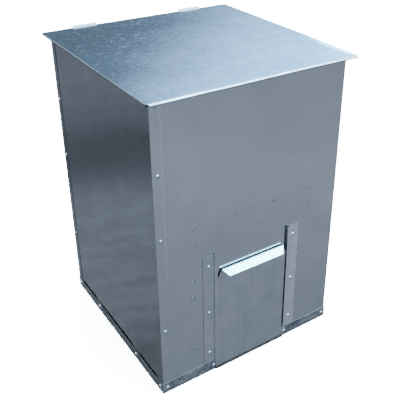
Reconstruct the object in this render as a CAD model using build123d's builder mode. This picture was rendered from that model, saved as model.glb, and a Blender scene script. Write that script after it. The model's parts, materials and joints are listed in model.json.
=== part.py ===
from build123d import *
import os

# Nesting box folded from zinc-coated steel sheet: a square body of riveted sheets standing in
# a shallow base pan, a flat hemmed lid hinged along the rear, and a gate that lifts in two
# rails in front of a floor-level hatch.
# Millimetres, +Z up, the gate faces -Y. The origin is the middle of the base's underside.

# Sheet metal
sheet = 1.0  # thickness of every body, pan, lid, rail and gate sheet
bend_inside = 1.0  # inside radius of a plain fold
running_gap = 0.3  # space between a moving sheet and its neighbour

# Body
body_width = 500.0
body_depth = 500.0
body_height = 750.0
top_flange = 15.0  # inward safety flange round the mouth, which the lid rests on
flange_relief = 0.7  # cut back at each mitred end of those flanges
front_seam = 25.0  # flange of the left side, behind the front sheet
rear_seam = 22.0  # wraps of the back sheet, outside both sides

# Base pan
pan_height = 30.0
pan_opening = 206.0  # gap in the front wall, below the gate
corner_slit = 0.5  # slit between two walls of the pan at a corner
tab_top = 24.0  # width of a corner tab, folded round from a side wall, at its top
tab_foot = 14.0  # and at its foot

# Hatch and its stiffeners
hatch_width = 190.0
hatch_top = 268.0
header_length = 344.0
header_low = 384.0  # bottom edge of the hat section's lower foot
header_high = 441.0  # top edge of its upper foot
header_foot = 16.0
header_slant = 4.0
header_depth = 13.0
stile_spread = 308.0  # between the two stiles' webs
stile_foot_width = 18.0
stile_web = 18.0
stile_bottom = 40.0
stile_top = 376.0

# Rails and gate
rail_bottom = 32.0
rail_top = 345.0
rail_spread = 216.0  # between the outsides of the two webs
rail_flange = 29.0
rail_lip = 7.0
gate_width = 209.0
gate_edge = 2.3  # thickness over the hemmed side edges
slot_play = 1.9  # loose space between the gate and the rails' lips
gate_hem = 12.0
gate_top = 300.0
gate_corner_drop = 33.0  # from the top down to where the hems end and the corners slope in
handle_width = 177.0
handle_ledge = 4.3
handle_reach = 14.0
handle_drop = 12.6
handle_taper = 10.8  # each side, from the fold to the front edge

# Lid
lid_side_overhang = 16.5
lid_front_overhang = 26.0
lid_rear_overhang = 20.0
lid_hem = 12.0
lid_edge = 5.0  # height of the rolled edge
lid_corner = 7.0  # left bare of hem, and rounded
lid_mitre = 1.0  # slit between two hems on the underside

# Hinges
hinge_inset = 98.0  # from the body's side to a hinge's middle
hinge_length = 60.0
strap = 1.5  # thickness of the hinge straps
lid_knuckle = 28.0  # the middle knuckle, which turns with the lid
knuckle_gap = 0.4
pin_diameter = 4.0
pin_clearance = 0.05
pin_head_diameter = 5.6
pin_head = 1.0
pin_rise = 0.5  # pin's centre above the top of the lid
barrel_gap = 0.5  # between the lid's rear edge and the barrels
curl_opening = 75.0  # degrees left open between a knuckle's end and its own strap
bracket_drop = 13.5  # from the pin's centre to the bracket's arm
bracket_leg = 38.0

# Blind rivets
rivet_diameter = 4.8
rivet_head_diameter = 9.5
rivet_head_height = 1.5
rivet_head_slope = 56.0  # degrees, from upright
rivet_tail_diameter = 6.4
rivet_tail = 4.0
rivet_sides = 8  # rivets and their holes are many, so they are drawn with flats
hole_clearance = 0.1  # on the diameter
seam_inset = 12.0  # rivet line from the body's corner
seam_heights = (185.0, 430.0, 585.0)
seam_top_drop = 15.0  # highest seam rivet, from the body's top
pan_rivet_height = 15.0
pan_corner_inset = 11.0
pan_rivet_spread = 220.0
side_corner_inset = 13.0
rail_rivet_spread = 243.0
rail_rivet_heights = (62.0, 185.0, 317.0)
hinge_rivet_spread = 34.0
hinge_rivet_drop = 22.0  # from the bracket's arm

# Worked out from the sizes above
half_width = body_width / 2
half_depth = body_depth / 2
mid = sheet / 2
bend = bend_inside + mid
foot = sheet + bend_inside  # the body sheets stand on the start of the pan's folds
wall_top = body_height - sheet - bend_inside
rear_stop = half_depth - sheet - bend_inside
top_mid = body_height - mid
front_mid = -half_depth + mid
hands = {"left": -1, "right": 1}

gate_back = half_depth + sheet + running_gap
gate_face = gate_back + gate_edge
slot = gate_face + slot_play
gate_mid = -gate_face + mid
gate_shoulder = gate_top - gate_corner_drop

hinge_place = half_width - hinge_inset  # middle of a hinge

lid_width = body_width + 2 * lid_side_overhang
lid_depth = body_depth + lid_front_overhang + lid_rear_overhang
lid_middle = (lid_rear_overhang - lid_front_overhang) / 2
lid_top = body_height + sheet
lid_underside = lid_top - lid_edge

barrel = pin_diameter / 2 + pin_clearance + strap / 2  # middle radius of a curled knuckle
strap_bend = bend_inside + strap / 2
pin_y = half_depth + lid_rear_overhang + barrel_gap + barrel + strap / 2
pin_z = lid_top + pin_rise
riser = pin_y - barrel
bracket_arm = pin_z - bracket_drop
leaf_mid = lid_underside - strap / 2
leaf_front = half_depth + lid_rear_overhang - lid_hem
leaf_rear = half_depth + lid_rear_overhang

os.makedirs("parts", exist_ok=True)


def keep(piece, name):
    """Label a finished piece and write it."""
    piece.part.label = name
    export_step(piece.part, f"parts/{name}.step")


def folded(*corners, radius=bend, thickness=sheet):
    """Section of a folded sheet whose middle line turns at the corners."""
    with BuildSketch() as section:
        with BuildLine():
            FilletPolyline(*corners, radius=radius)
        trace(line_width=thickness)
    return section.sketch


def mouth_flange(along, out, turn):
    """Flange folded inwards from a wall's top edge, under the lid, and mitred at both ends."""
    wall = -out + mid
    shoulder = along - flange_relief
    point = shoulder - top_flange
    with BuildPart(mode=Mode.PRIVATE) as flange:
        with BuildSketch(Plane.YZ):
            add(folded((wall, wall_top - top_flange), (wall, top_mid), (-out + top_flange, top_mid)))
        extrude(amount=along - foot, both=True)
        with BuildSketch(Plane.XY.offset(wall_top)):
            with BuildLine():
                Polyline(
                    (-shoulder, -out),
                    (shoulder, -out),
                    (point, -out + top_flange),
                    (-point, -out + top_flange),
                    close=True,
                )
            make_face()
        extrude(amount=foot, mode=Mode.INTERSECT)
    add(flange.part.rotate(Axis.Z, turn))


def tab_outline(outer, low, slit):
    """Outlines of the pan's two corner tabs, seen from the front, up to a distance outwards."""
    with BuildSketch() as outline:
        with BuildLine():
            Polyline(
                (outer, low),
                (pan_side - tab_foot + slit, low),
                (pan_side - tab_top + slit, pan_height),
                (outer, pan_height),
                close=True,
            )
        make_face()
        mirror(about=Plane.YZ)
    return outline.sketch


def hem_section(edge, outwards):
    """Section of the lid's edge, rolled under and run back to the end of its hem."""
    roll = (lid_edge - sheet) * 0.45
    outside = edge - outwards * mid
    inside = edge - outwards * lid_hem
    upper = lid_top - mid
    lower = lid_underside + mid
    return folded((inside, upper), (outside, upper), (outside, lower), (inside, lower), radius=roll)


def punch(face, places):
    """Rivet holes through the sheets just behind a face."""
    with BuildSketch(face) as holes:
        for across, up, _ in places:
            with Locations((across, up)):
                RegularPolygon((rivet_diameter + hole_clearance) / 2, rivet_sides)
    deepest = max(grip for _, _, grip in places)
    extrude(holes.sketch, amount=-deepest - sheet, mode=Mode.SUBTRACT)


def blind_rivet(grip):
    """Blind rivet with its head's seat at the origin and its tail set at the grip."""
    with BuildPart() as rivet:
        with BuildSketch():
            RegularPolygon(rivet_head_diameter / 2, rivet_sides)
        extrude(amount=rivet_head_height, taper=rivet_head_slope)
        with BuildSketch():
            RegularPolygon(rivet_diameter / 2, rivet_sides)
        extrude(amount=-grip)
        with BuildSketch(Plane.XY.offset(-grip)):
            RegularPolygon(rivet_tail_diameter / 2, rivet_sides)
        extrude(amount=-rivet_tail)
    return rivet.part


def rivet_row(face, places):
    """Blind rivets set in one face, each at its place across and up, with its grip."""
    rivets = [(across, up, blind_rivet(grip)) for across, up, grip in places]
    with BuildPart() as row:
        for across, up, rivet in rivets:
            with Locations(face.location * Location((across, up, 0))):
                add(rivet)
    return row


# Rivet lines. Each place is the distance across the face, the height, and the grip.
# Faces look outwards, so "across" runs to the right of someone who faces that side.
two_sheets = 2 * sheet
three_sheets = 3 * sheet
front_face = Plane.front.offset(half_depth)
front_pan_face = Plane.front.offset(half_depth + sheet)
left_wrap_face = Plane.left.offset(half_width + sheet)
right_wrap_face = Plane.right.offset(half_width + sheet)
left_pan_face = Plane.left.offset(half_width + two_sheets)
right_pan_face = Plane.right.offset(half_width + two_sheets)
back_pan_face = Plane.back.offset(half_depth + sheet)
bracket_face = Plane.back.offset(half_depth + strap)

seam_rivets = (*seam_heights, body_height - seam_top_drop)
seam_across = half_width - seam_inset
front_seam_places = [(-seam_across, up, two_sheets) for up in seam_rivets]
seam_depth = half_depth - seam_inset
left_seam_places = [(-seam_depth, up, two_sheets) for up in seam_rivets]
right_seam_places = [(seam_depth, up, two_sheets) for up in seam_rivets]

pan_corner = half_width - pan_corner_inset
side_corner = half_depth - side_corner_inset
pan_inner = pan_rivet_spread / 2
front_pan_places = [(-pan_corner, pan_rivet_height, three_sheets)]
front_pan_places += [(across, pan_rivet_height, two_sheets) for across in (-pan_inner, pan_inner, pan_corner)]
back_pan_places = [
    (across, pan_rivet_height, two_sheets) for across in (-pan_corner, -pan_inner, pan_inner, pan_corner)
]
side_pan_places = [
    (across, pan_rivet_height, three_sheets) for across in (-side_corner, -pan_inner, pan_inner, side_corner)
]
rail_places = {
    hand: [(side * rail_rivet_spread / 2, up, two_sheets) for up in rail_rivet_heights]
    for hand, side in hands.items()
}
hinge_places = {
    hand: [
        (-side * hinge_place + shift, bracket_arm - hinge_rivet_drop, strap + sheet)
        for shift in (-hinge_rivet_spread / 2, hinge_rivet_spread / 2)
    ]
    for hand, side in hands.items()
}

# Base pan: one blank, with its four walls folded up outside the body's sheets. Tabs on the
# side walls' ends fold round the corners, into slanted cuts in the front and rear walls. In
# front of the hatch the blank stays flat as a sill, which the gate stands on.
pan_side = half_width + sheet
pan_floor_x = pan_side - bend_inside
pan_floor_y = half_depth - bend_inside
side_end = pan_floor_y - corner_slit
tab_low = foot + corner_slit
sill_depth = gate_face - pan_floor_y
with BuildPart() as base_pan:
    with BuildSketch():
        Rectangle(2 * pan_floor_x, 2 * pan_floor_y)
    extrude(amount=sheet)
    for outwards in (-1, 1):
        wall = outwards * (half_depth + mid)
        with BuildSketch(Plane.YZ):
            add(folded((wall - outwards * pan_height, mid), (wall, mid), (wall, pan_height)))
        extrude(amount=pan_side, both=True)
    for face in (front_pan_face, back_pan_face):
        with BuildSketch(face):
            add(tab_outline(pan_side, foot, 0))
        extrude(amount=-sheet, mode=Mode.SUBTRACT)
        with BuildSketch(face):
            add(tab_outline(pan_side - bend, tab_low, corner_slit))
        extrude(amount=-sheet)
    for outwards in (-1, 1):
        wall = outwards * (pan_side + mid)
        with BuildSketch(Plane.XZ):
            add(folded((wall - outwards * pan_height, mid), (wall, mid), (wall, pan_height)))
        extrude(amount=side_end, both=True)
        for end in (-1, 1):
            corner = (wall, end * (half_depth + mid))
            root = (wall - outwards * (sheet + bend), corner[1])
            with BuildSketch(Plane.XY.offset(tab_low)):
                add(folded((wall, end * (side_end - bend)), corner, root))
            extrude(amount=pan_height - tab_low)
    with Locations((0, -pan_floor_y, 0)):
        Box(
            pan_opening,
            2 * foot,
            2 * pan_height,
            align=(Align.CENTER, Align.MAX, Align.CENTER),
            mode=Mode.SUBTRACT,
        )
        Box(pan_opening, sill_depth, sheet, align=(Align.CENTER, Align.MAX, Align.MIN))
    punch(front_pan_face, front_pan_places)
    punch(back_pan_face, back_pan_places)
    punch(left_pan_face, side_pan_places)
    punch(right_pan_face, side_pan_places)
keep(base_pan, "base_pan")

# Front and right side: one sheet folded at the front right corner, with the hatch cut up
# from its bottom edge.
with BuildPart() as front_right_shell:
    with BuildSketch(Plane.XY.offset(foot)):
        right_mid = half_width - mid
        add(folded((-half_width, front_mid), (right_mid, front_mid), (right_mid, rear_stop)))
    extrude(amount=wall_top - foot)
    mouth_flange(half_width, half_depth, 0)
    mouth_flange(half_depth, half_width, 90)
    with BuildSketch(front_face):
        Rectangle(hatch_width, hatch_top, align=(Align.CENTER, Align.MIN))
    extrude(amount=-foot, mode=Mode.SUBTRACT)
    punch(front_face, front_seam_places)
    punch(front_pan_face, front_pan_places)
    punch(right_wrap_face, right_seam_places)
    punch(right_pan_face, side_pan_places)
    for places in rail_places.values():
        punch(front_pan_face, places)
keep(front_right_shell, "front_right_shell")

# Left side, with a seam flange folded behind the front sheet.
with BuildPart() as left_side_panel:
    left_mid = -half_width + mid
    seam_mid = front_mid + sheet
    with BuildSketch(Plane.XY.offset(foot)):
        add(folded((left_mid, rear_stop), (left_mid, seam_mid), (-half_width + front_seam, seam_mid)))
    extrude(amount=wall_top - foot)
    mouth_flange(half_depth, half_width, -90)
    punch(front_face, front_seam_places)
    punch(front_pan_face, front_pan_places[:1])
    punch(left_wrap_face, left_seam_places)
    punch(left_pan_face, side_pan_places)
keep(left_side_panel, "left_side_panel")

# Back sheet, with both ends wrapped round the outside of the sides.
with BuildPart() as back_panel:
    wrap_mid = half_width + mid
    back_mid = half_depth - mid
    wrap_end = half_depth - rear_seam
    with BuildSketch(Plane.XY.offset(foot)):
        add(folded((-wrap_mid, wrap_end), (-wrap_mid, back_mid), (wrap_mid, back_mid), (wrap_mid, wrap_end)))
    extrude(amount=wall_top - foot)
    mouth_flange(half_width, half_depth, 180)
    punch(left_wrap_face, left_seam_places)
    punch(right_wrap_face, right_seam_places)
    punch(left_pan_face, side_pan_places)
    punch(right_pan_face, side_pan_places)
    punch(back_pan_face, back_pan_places)
    for places in hinge_places.values():
        punch(bracket_face, places)
keep(back_panel, "back_panel")

# Hat-section header, spot-welded behind the front sheet over the hatch.
header_wall = -half_depth + sheet + mid
header_crown = header_wall + header_depth
with BuildPart() as inner_header:
    with BuildSketch(Plane.YZ):
        add(
            folded(
                (header_wall, header_low),
                (header_wall, header_low + header_foot),
                (header_crown, header_low + header_foot + header_slant),
                (header_crown, header_high - header_foot - header_slant),
                (header_wall, header_high - header_foot),
                (header_wall, header_high),
            )
        )
    extrude(amount=header_length / 2, both=True)
keep(inner_header, "inner_header")

# Angle stiles, spot-welded behind the front sheet on both sides of the hatch.
for hand, side in hands.items():
    with BuildPart() as inner_stile:
        web = side * (stile_spread / 2 + mid)
        toe = side * (stile_spread / 2 + stile_foot_width)
        with BuildSketch(Plane.XY.offset(stile_bottom)):
            add(folded((toe, header_wall), (web, header_wall), (web, header_wall + stile_web)))
        extrude(amount=stile_top - stile_bottom)
    keep(inner_stile, f"inner_stile_{hand}")

# Gate rails: Z sections riveted to the front sheet, whose lips hold the gate's edges.
for hand, side in hands.items():
    with BuildPart() as gate_rail:
        web = side * (rail_spread / 2 - mid)
        wall = -half_depth - mid
        with BuildSketch(Plane.XY.offset(rail_bottom)):
            add(
                folded(
                    (side * (rail_spread / 2 + rail_flange), wall),
                    (web, wall),
                    (web, -slot - mid),
                    (side * (rail_spread / 2 - rail_lip), -slot - mid),
                )
            )
        extrude(amount=rail_top - rail_bottom)
        punch(front_pan_face, rail_places[hand])
    keep(gate_rail, f"gate_rail_{hand}")

# Gate: hemmed side edges that run in the rails, sloped top corners, and a handle folded
# forwards and down from the top edge.
with BuildPart() as gate_plate:
    gate_half = gate_width / 2
    hem_back = -gate_back - mid
    hem_end = gate_half - gate_hem
    gate_roll = (gate_edge - sheet) * 0.45
    edge_flat = gate_half - gate_roll - mid
    with BuildSketch(Plane.XY.offset(sheet)):
        add(
            folded(
                (-hem_end, hem_back),
                (-gate_half + mid, hem_back),
                (-gate_half + mid, gate_mid),
                (gate_half - mid, gate_mid),
                (gate_half - mid, hem_back),
                (hem_end, hem_back),
                radius=gate_roll,
            )
        )
    extrude(amount=gate_shoulder - sheet)
    with BuildSketch(Plane.front.offset(gate_face - sheet)):
        with BuildLine():
            Polyline(
                (-edge_flat, gate_shoulder),
                (edge_flat, gate_shoulder),
                (handle_width / 2, gate_top - sheet - bend_inside),
                (-handle_width / 2, gate_top - sheet - bend_inside),
                close=True,
            )
        make_face()
    extrude(amount=sheet)
    ledge = gate_mid - handle_ledge
    lip_edge = ledge - handle_reach
    fold_top = gate_top - mid
    with BuildSketch(Plane.YZ):
        add(
            folded(
                (gate_mid, gate_shoulder),
                (gate_mid, fold_top),
                (ledge, fold_top),
                (lip_edge, fold_top - handle_drop),
            )
        )
    extrude(amount=handle_width / 2, both=True)
    for side in hands.values():
        with BuildSketch(Plane.XY.offset(gate_shoulder)):
            with BuildLine():
                Polyline(
                    (side * handle_width / 2, ledge),
                    (side * (handle_width / 2 - handle_taper), lip_edge),
                    (side * (handle_width / 2 - handle_taper), lip_edge - foot),
                    (side * (handle_width / 2 + handle_taper), lip_edge - foot),
                    (side * (handle_width / 2 + handle_taper), ledge),
                    close=True,
                )
            make_face()
        extrude(amount=gate_top, mode=Mode.SUBTRACT)
keep(gate_plate, "gate_plate")

# Lid: a flat sheet, rolled under along all four edges.
with BuildPart() as lid_sheet:
    flat_inset = 2 * (lid_edge - sheet) * 0.45 + sheet
    lid_front = -half_depth - lid_front_overhang
    lid_rear = half_depth + lid_rear_overhang
    with BuildSketch(Plane.XY.offset(body_height)):
        with Locations((0, lid_middle)):
            RectangleRounded(lid_width - flat_inset, lid_depth - flat_inset, radius=lid_corner)
    extrude(amount=sheet)
    for outwards, edge in ((-1, lid_front), (1, lid_rear)):
        with BuildSketch(Plane.YZ):
            add(hem_section(edge, outwards))
        extrude(amount=lid_width / 2 - lid_corner, both=True)
        with BuildSketch(Plane.XZ.offset(-lid_middle)):
            add(hem_section(outwards * lid_width / 2, outwards))
        extrude(amount=lid_depth / 2 - lid_corner, both=True)
    for side in hands.values():
        for edge, turn in ((lid_front, 45), (lid_rear, -45)):
            with Locations(Location((side * lid_width / 2, edge, lid_underside), (0, 0, side * -turn))):
                Box(
                    4 * lid_hem,
                    lid_mitre,
                    lid_edge - sheet,
                    align=(Align.CENTER, Align.CENTER, Align.MIN),
                    mode=Mode.SUBTRACT,
                )
keep(lid_sheet, "lid_sheet")

# Hinges. A cranked bracket rises behind the lid's rear edge and curls over the pin in two
# outer knuckles. The lid's leaf is welded under the hem and has the middle knuckle.
for hand, side in hands.items():
    middle = side * hinge_place
    with BuildPart() as hinge_bracket:
        with BuildSketch(Plane.YZ.offset(middle)):
            with BuildLine():
                FilletPolyline(
                    (half_depth + strap / 2, bracket_arm - bracket_leg),
                    (half_depth + strap / 2, bracket_arm),
                    (riser, bracket_arm),
                    (riser, pin_z),
                    radius=strap_bend,
                )
                CenterArc((pin_y, pin_z), barrel, 180, curl_opening - 360)
            trace(line_width=strap)
        extrude(amount=hinge_length / 2, both=True)
        with Locations((middle, pin_y, bracket_arm + strap_bend)):
            Box(
                lid_knuckle + 2 * knuckle_gap,
                4 * barrel,
                2 * (pin_z - bracket_arm),
                align=(Align.CENTER, Align.CENTER, Align.MIN),
                mode=Mode.SUBTRACT,
            )
        punch(bracket_face, hinge_places[hand])
    keep(hinge_bracket, f"hinge_bracket_{hand}")

    with BuildPart() as hinge_leaf:
        with BuildSketch(Plane.YZ.offset(middle)):
            with BuildLine():
                FilletPolyline(
                    (leaf_front, leaf_mid),
                    (riser, leaf_mid),
                    (riser, pin_z),
                    radius=strap_bend,
                )
                CenterArc((pin_y, pin_z), barrel, 180, curl_opening - 360)
            trace(line_width=strap)
        extrude(amount=lid_knuckle / 2, both=True)
        with Locations((middle, leaf_front, leaf_mid)):
            Box(hinge_length, leaf_rear - leaf_front, strap, align=(Align.CENTER, Align.MIN, Align.CENTER))
    keep(hinge_leaf, f"hinge_leaf_{hand}")

    with BuildPart() as hinge_pin:
        with BuildSketch(Plane.YZ.offset(middle)):
            with Locations((pin_y, pin_z)):
                Circle(pin_diameter / 2)
        extrude(amount=hinge_length / 2 + knuckle_gap, both=True)
        for end in (-1, 1):
            with BuildSketch(Plane.YZ.offset(middle + end * (hinge_length / 2 + pin_clearance))):
                with Locations((pin_y, pin_z)):
                    Circle(pin_head_diameter / 2)
            extrude(amount=end * pin_head)
    keep(hinge_pin, f"hinge_pin_{hand}")

# Blind rivets, one node for each line of them.
keep(rivet_row(front_face, front_seam_places), "rivets_front_left_seam")
keep(rivet_row(left_wrap_face, left_seam_places), "rivets_rear_left_seam")
keep(rivet_row(right_wrap_face, right_seam_places), "rivets_rear_right_seam")
keep(rivet_row(front_pan_face, front_pan_places), "rivets_pan_front")
keep(rivet_row(back_pan_face, back_pan_places), "rivets_pan_back")
keep(rivet_row(left_pan_face, side_pan_places), "rivets_pan_left")
keep(rivet_row(right_pan_face, side_pan_places), "rivets_pan_right")
for hand in hands:
    keep(rivet_row(front_pan_face, rail_places[hand]), f"rivets_rail_{hand}")
    keep(rivet_row(bracket_face, hinge_places[hand]), f"rivets_hinge_{hand}")
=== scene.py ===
import json
import math

import bmesh
import bpy
from bpy.props import FloatProperty, FloatVectorProperty, IntProperty, PointerProperty
from mathutils import Matrix, Vector, noise

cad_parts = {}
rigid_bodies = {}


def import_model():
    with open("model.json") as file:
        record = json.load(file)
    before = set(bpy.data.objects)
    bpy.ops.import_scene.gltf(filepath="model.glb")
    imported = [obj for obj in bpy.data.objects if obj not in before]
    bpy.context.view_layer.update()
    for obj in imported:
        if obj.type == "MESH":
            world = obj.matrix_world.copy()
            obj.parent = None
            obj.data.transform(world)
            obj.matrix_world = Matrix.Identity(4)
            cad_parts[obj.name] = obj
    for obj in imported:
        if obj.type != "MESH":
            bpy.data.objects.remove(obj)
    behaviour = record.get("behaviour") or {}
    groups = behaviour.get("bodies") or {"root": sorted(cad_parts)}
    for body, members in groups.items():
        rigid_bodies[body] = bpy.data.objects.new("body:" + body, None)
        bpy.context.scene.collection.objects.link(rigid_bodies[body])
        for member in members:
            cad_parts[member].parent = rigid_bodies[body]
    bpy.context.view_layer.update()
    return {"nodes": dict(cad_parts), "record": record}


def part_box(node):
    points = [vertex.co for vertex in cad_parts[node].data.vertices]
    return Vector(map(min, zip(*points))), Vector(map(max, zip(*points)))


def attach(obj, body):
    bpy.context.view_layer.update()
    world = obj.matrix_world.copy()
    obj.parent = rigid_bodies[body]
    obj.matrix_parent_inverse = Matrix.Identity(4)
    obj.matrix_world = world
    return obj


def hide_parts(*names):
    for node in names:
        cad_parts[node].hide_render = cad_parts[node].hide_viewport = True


for leftover in list(bpy.data.objects):
    bpy.data.objects.remove(leftover)
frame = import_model()
NODES = frame["nodes"]
BODIES = frame["record"]["behaviour"]["bodies"]

bl_info = {
    "name": "Nesting box",
    "version": (1, 0, 0),
    "blender": (4, 5, 0),
    "location": "3D View > Sidebar > Nesting box",
    "description": "Dresses the nesting box in wavy zinc-coated sheet, domed rivets and weld marks",
    "category": "Add Mesh",
}

# Where the sheets stand, in metres, and the rows of rivets
BODY_LOW, BODY_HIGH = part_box("front_right_shell")
HALF = -BODY_LOW.y
PAN_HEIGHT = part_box("base_pan")[1].z
LID_LOW, LID_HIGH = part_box("lid_sheet")
RIVET_ROWS = [name for name in BODIES["box"] if name.startswith("rivets_")]

# Thickness of the sheets, width of the lid's hems and of the flange behind the front's seam
SHEET = 0.001
LID_HEM = 0.0125
SEAM_FLANGE = 0.025

# Part of the front that the rails and stiffeners hold flat: half its width, its top and the
# width of the strip over which the waves come back
FLAT_HALF, FLAT_TOP, FLAT_FADE = 0.19, 0.40, 0.05

# Spot welds of the header's two rows and of the stiles, as X and Z on the front
WELD_PLACES = (
    *((x, 0.433) for x in (-0.157, -0.049, 0.061, 0.163)),
    *((x, 0.392) for x in (-0.155, 0.012, 0.164)),
    *((x, z) for x in (-0.163, 0.163) for z in (0.293, 0.247, 0.094)),
)

# What the bare metal mirrors. A ramp's rows are a place from 0 to 1, a colour and its strength.
SHADED_GROUND = (
    (0.0, "cedef0", 0.22),
    (0.16, "cedef0", 0.23),
    (0.185, "cedef0", 0.31),
    (0.212, "cedef0", 0.35),
    (0.245, "cedef0", 0.38),
    (0.265, "cddcf0", 0.2),
    (0.275, "cddcf0", 0.17),
    (0.289, "cddcf0", 0.17),
    (0.296, "cddcf0", 0.23),
    (0.33, "d0dcee", 0.33),
    (0.4, "d0dcee", 0.2),
    (0.48, "d0dcee", 0.12),
)
OPEN_GROUND = (
    (0.0, "cddcf0", 0.34),
    (0.14, "cddcf0", 0.5),
    (0.2, "cddcf0", 0.54),
    (0.225, "cddcf0", 0.58),
    (0.25, "cddcf0", 0.71),
    (0.3, "cddcf0", 0.62),
    (0.34, "cddcf0", 0.6),
    (0.48, "cddcf0", 0.12),
)
SKY = (
    (0.0, "bfe0ff", 0.28),
    (0.2, "b5daff", 0.38),
    (0.3, "afd2ff", 0.5),
    (0.42, "a4d0ff", 1.55),
    (0.55, "8fccff", 3.2),
    (0.716, "84c4ff", 4.3),
    (1.0, "8cc8ff", 6.4),
)

# Azimuth and elevation of the sky's brightest part, in degrees
SUN_WAY = (-31, 44)

# Patches of light and shade in it: azimuth and elevation, radius of the core and of the soft
# edge, all in degrees, then a colour and its strength
WINDOWS = (
    ((10, 60), 12, 28, "f2faff", 8.0),
    ((-33, 40), 5, 11, "d0f2ff", 14.0),
    ((-47, 47), 7, 11, "9cf7ff", 21.0),
    ((-53, 11), 7, 13, "c8dcf4", 0.9),
    ((148, 34), 13, 27, "eef6ff", 9.0),
    ((95, 27), 6, 22, "c4e4ff", 1.3),
    ((42, 10.5), 3, 6.5, "8ce0ff", 36.0),
    ((47, 32), 3, 6, "b8e8ff", 16.0),
    ((58, 33), 3, 6, "b8e8ff", 12.0),
    ((-84, -28), 5, 17, "cedef0", 0.95),
    ((20, -45), 16, 44, "c0ccd8", 0.09),
)


# Sizes and lights that can be changed


class SheetShape(bpy.types.PropertyGroup):
    """Waves, creases and bows of the sheets"""

    wall_wave: FloatProperty(
        name="Wall wave",
        description="Depth of the shallow waves in the walls",
        default=0.0007,
        unit="LENGTH",
    )
    wave_length: FloatProperty(
        name="Wave length",
        description="Distance between two waves in a wall",
        default=0.19,
        unit="LENGTH",
    )
    lid_wave: FloatProperty(
        name="Lid wave",
        description="How far the lid rises between its low places",
        default=0.0016,
        unit="LENGTH",
    )
    lid_crease: FloatProperty(
        name="Lid crease",
        description="Depth of the line where the hem ends under the lid",
        default=0.0002,
        unit="LENGTH",
    )
    hem_droop: FloatProperty(
        name="Hem droop",
        description="How far the lid's hems slope down to their edges",
        default=0.0007,
        unit="LENGTH",
    )
    seam_crease: FloatProperty(
        name="Seam crease",
        description="Height of the line where the seam's flange ends",
        default=0.0002,
        unit="LENGTH",
    )
    pan_bow: FloatProperty(
        name="Pan bow",
        description="How far the pan's edge stands off between rivets",
        default=0.0014,
        unit="LENGTH",
    )
    grid: FloatProperty(
        name="Grid",
        description="Size of the faces that carry the waves",
        default=0.012,
        min=0.004,
        unit="LENGTH",
    )


class FastenerShape(bpy.types.PropertyGroup):
    """Sizes of the rivets and the weld marks"""

    head_diameter: FloatProperty(
        name="Head diameter",
        description="Across a rivet's domed head",
        default=0.0095,
        unit="LENGTH",
    )
    head_height: FloatProperty(
        name="Head height",
        description="Height of the dome above the sheet",
        default=0.0026,
        unit="LENGTH",
    )
    stub_diameter: FloatProperty(
        name="Stub diameter",
        description="Across the broken end of the steel mandrel",
        default=0.0024,
        unit="LENGTH",
    )
    tail_diameter: FloatProperty(
        name="Tail diameter",
        description="Across the swollen end inside the box",
        default=0.0064,
        unit="LENGTH",
    )
    tail_length: FloatProperty(
        name="Tail length",
        description="Length of the swollen end",
        default=0.004,
        unit="LENGTH",
    )
    weld_diameter: FloatProperty(
        name="Weld mark",
        description="Across the ring that a welding electrode leaves",
        default=0.0083,
        unit="LENGTH",
    )
    weld_relief: FloatProperty(
        name="Weld relief",
        description="Height of that ring above the sheet",
        default=0.00045,
        unit="LENGTH",
    )
    sides: IntProperty(
        name="Sides",
        description="Faces round a rivet's head",
        default=24,
        min=8,
        max=48,
    )


class StudioSetup(bpy.types.PropertyGroup):
    """Camera and lights"""

    lens: FloatProperty(
        name="Lens",
        description="Focal length on a 36 mm wide sensor, in millimetres",
        default=59.073,
    )
    camera_place: FloatVectorProperty(
        name="Camera",
        description="Where the camera stands",
        default=(-0.7586, -1.2693, 1.2146),
        unit="LENGTH",
    )
    heading: FloatProperty(
        name="Heading",
        description="Camera's turn from the rear wall's direction",
        default=math.radians(-35.215),
        unit="ROTATION",
    )
    pitch: FloatProperty(
        name="Pitch",
        description="How far the camera looks down",
        default=math.radians(27.48),
        unit="ROTATION",
    )
    roll: FloatProperty(
        name="Roll",
        description="Camera's turn about its own line of sight",
        default=math.radians(0.879),
        unit="ROTATION",
    )
    shift: FloatVectorProperty(
        name="Shift",
        description="Sideways and upward lens shift",
        default=(-0.1, -0.1),
        size=2,
    )
    key_power: FloatProperty(
        name="Key light",
        description="Power of the soft light over the front right",
        default=420.0,
        unit="POWER",
    )
    floor_light: FloatProperty(
        name="Floor light",
        description="Strength of the soft light on the floor",
        default=90.0,
    )


# Helpers


def linear(code):
    """Linear colour with alpha, from an sRGB hex code."""
    parts = [int(code[at : at + 2], 16) / 255 for at in (0, 2, 4)]
    straight = (p / 12.92 if p <= 0.04045 else ((p + 0.055) / 1.055) ** 2.4 for p in parts)
    return (*straight, 1.0)


def glowing(code, strength):
    """Linear colour of a light: a hex code's colour times its strength."""
    return (*(part * strength for part in linear(code)[:3]), 1.0)


def direction(azimuth, elevation):
    """Unit vector for an azimuth from +X and an elevation, both in degrees."""
    turn, rise = math.radians(azimuth), math.radians(elevation)
    return (math.cos(turn) * math.cos(rise), math.sin(turn) * math.cos(rise), math.sin(rise))


def empty_tree(owner):
    """A material's or a world's node tree, cleared."""
    owner.use_nodes = True
    owner.node_tree.nodes.clear()
    return owner.node_tree


def add_node(tree, kind, inputs=(), **settings):
    """Add a node, make its settings, and give its inputs their values or links.

    A node as an input's value stands for that node's first output in use, and a list links
    everything that it holds.
    """
    made = tree.nodes.new(kind)
    for setting, value in settings.items():
        setattr(made, setting, value)
    for socket, given in dict(inputs).items():
        for value in given if isinstance(given, list) else [given]:
            if isinstance(value, bpy.types.Node):
                value = next(output for output in value.outputs if output.enabled)
            if isinstance(value, bpy.types.NodeSocket):
                tree.links.new(value, made.inputs[socket])
            else:
                made.inputs[socket].default_value = value
    return made


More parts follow.
